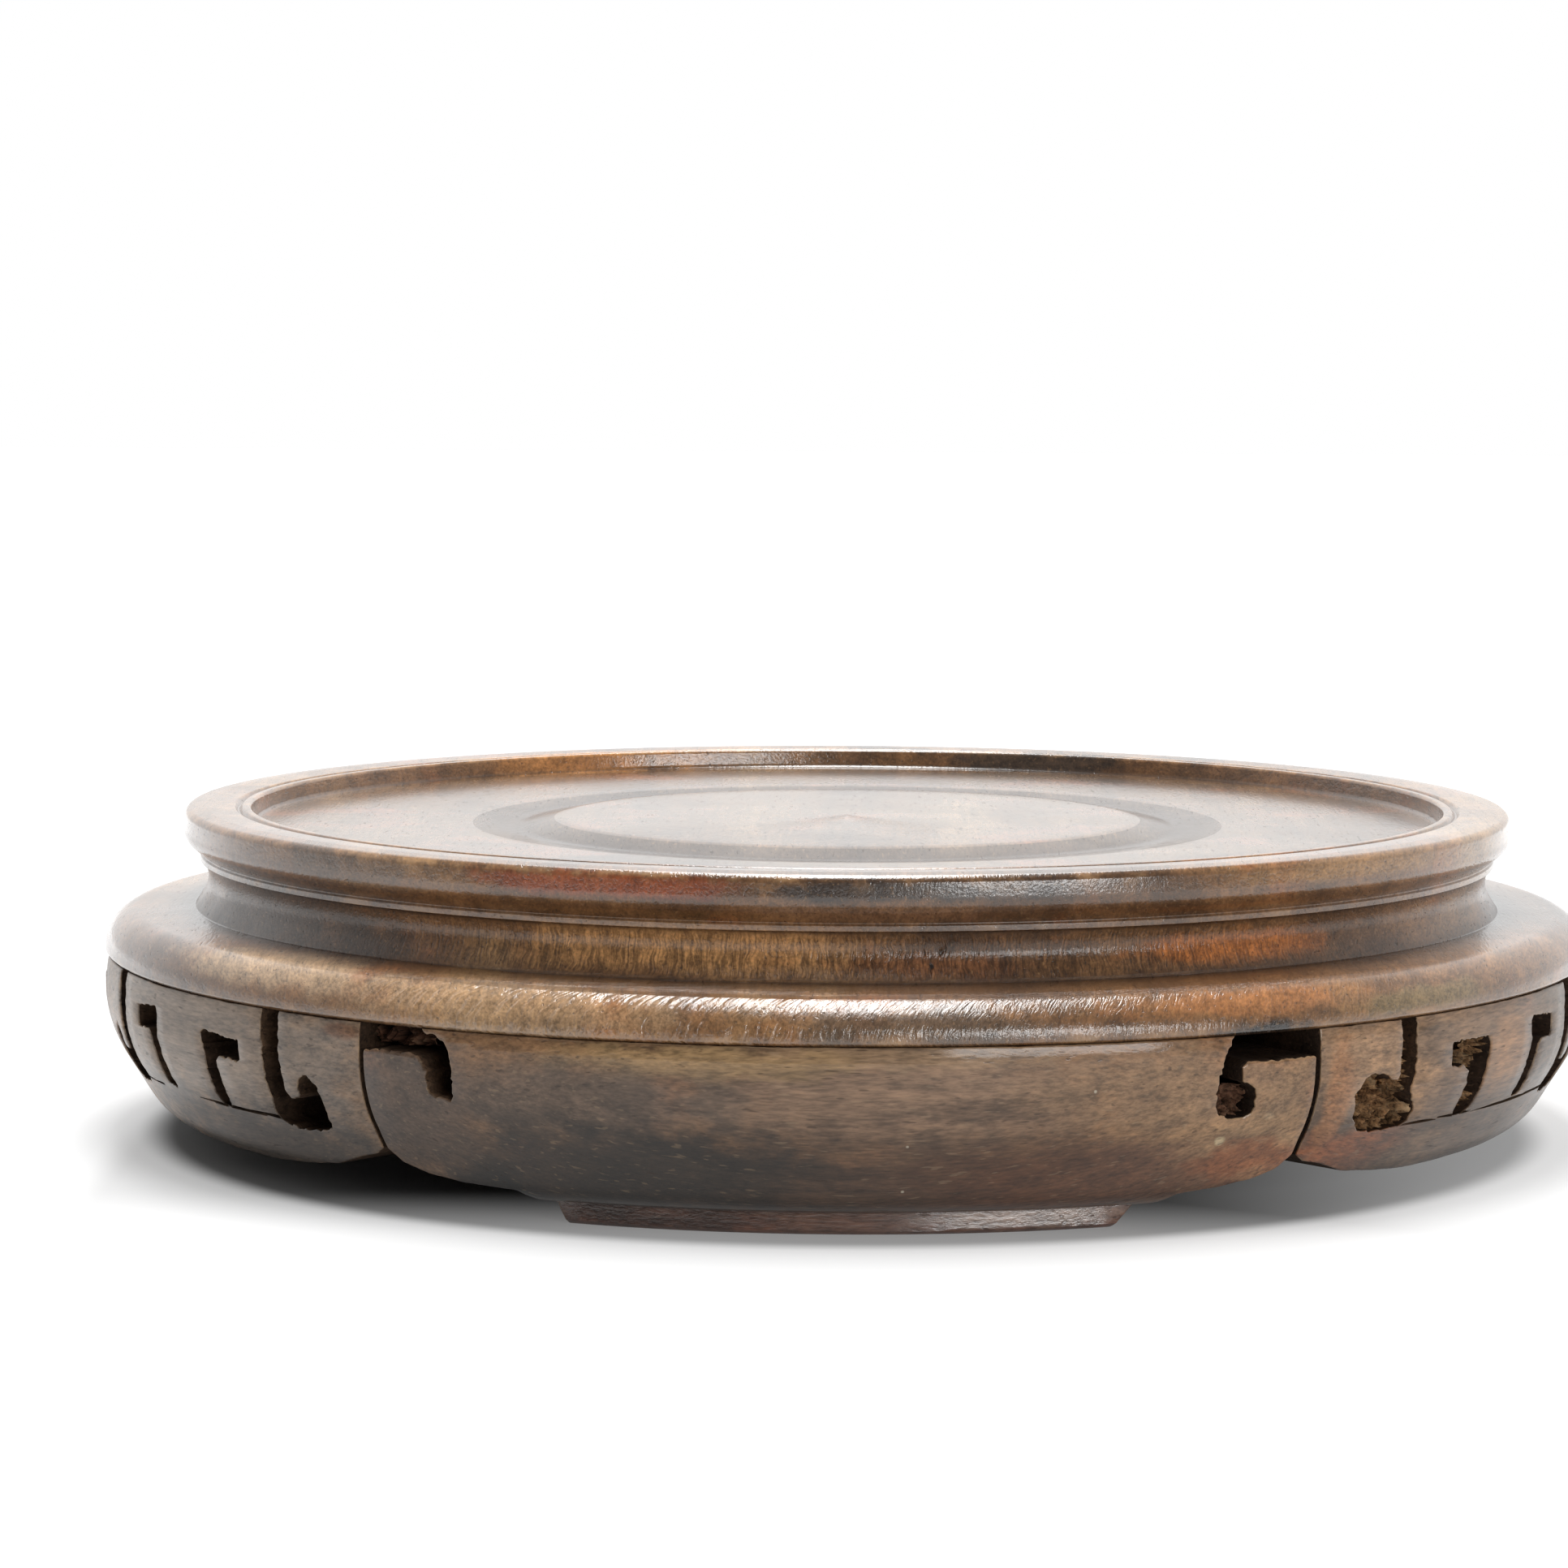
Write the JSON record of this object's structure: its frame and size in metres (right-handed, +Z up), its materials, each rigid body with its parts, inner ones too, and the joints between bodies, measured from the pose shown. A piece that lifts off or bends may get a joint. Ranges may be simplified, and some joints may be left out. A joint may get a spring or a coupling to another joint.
{
  "type": "bowl stand",
  "caption": "Low round hardwood display stand with a dished turned plate, a bulging apron of pierced key-fret panels and padded feet",
  "frame": {"origin": "centre of the stand on the table, under the turning axis", "axes": "+Z up along the turning axis, the front foot faces -Y, +X to the right seen from the front"},
  "size_m": [0.2, 0.2, 0.044],
  "materials": {
    "plate_wood": "polished",
    "apron_wood": "polished",
    "fret_wood": "satin",
    "pad_wood": "polished",
    "joinery_wood": "matte"
  },
  "bodies": {
    "root": {"top_plate": "plate_wood", "foot_segment_front": "apron_wood", "foot_segment_rear_right": "apron_wood", "foot_segment_rear_left": "apron_wood", "fret_panel_right": "fret_wood", "fret_panel_rear": "fret_wood", "fret_panel_left": "fret_wood", "foot_pad_front": "pad_wood", "foot_pad_rear_right": "pad_wood", "foot_pad_rear_left": "pad_wood", "tongue_front_right": "joinery_wood", "tongue_middle_right": "joinery_wood", "tongue_rear_right": "joinery_wood", "tongue_rear_left": "joinery_wood", "tongue_middle_left": "joinery_wood", "tongue_front_left": "joinery_wood", "pegs_foot_front": "joinery_wood", "pegs_foot_rear_right": "joinery_wood", "pegs_foot_rear_left": "joinery_wood", "pegs_fret_right": "joinery_wood", "pegs_fret_rear": "joinery_wood", "pegs_fret_left": "joinery_wood", "pad_pins_front": "joinery_wood", "pad_pins_rear_right": "joinery_wood", "pad_pins_rear_left": "joinery_wood"}
  },
  "joints": []
}
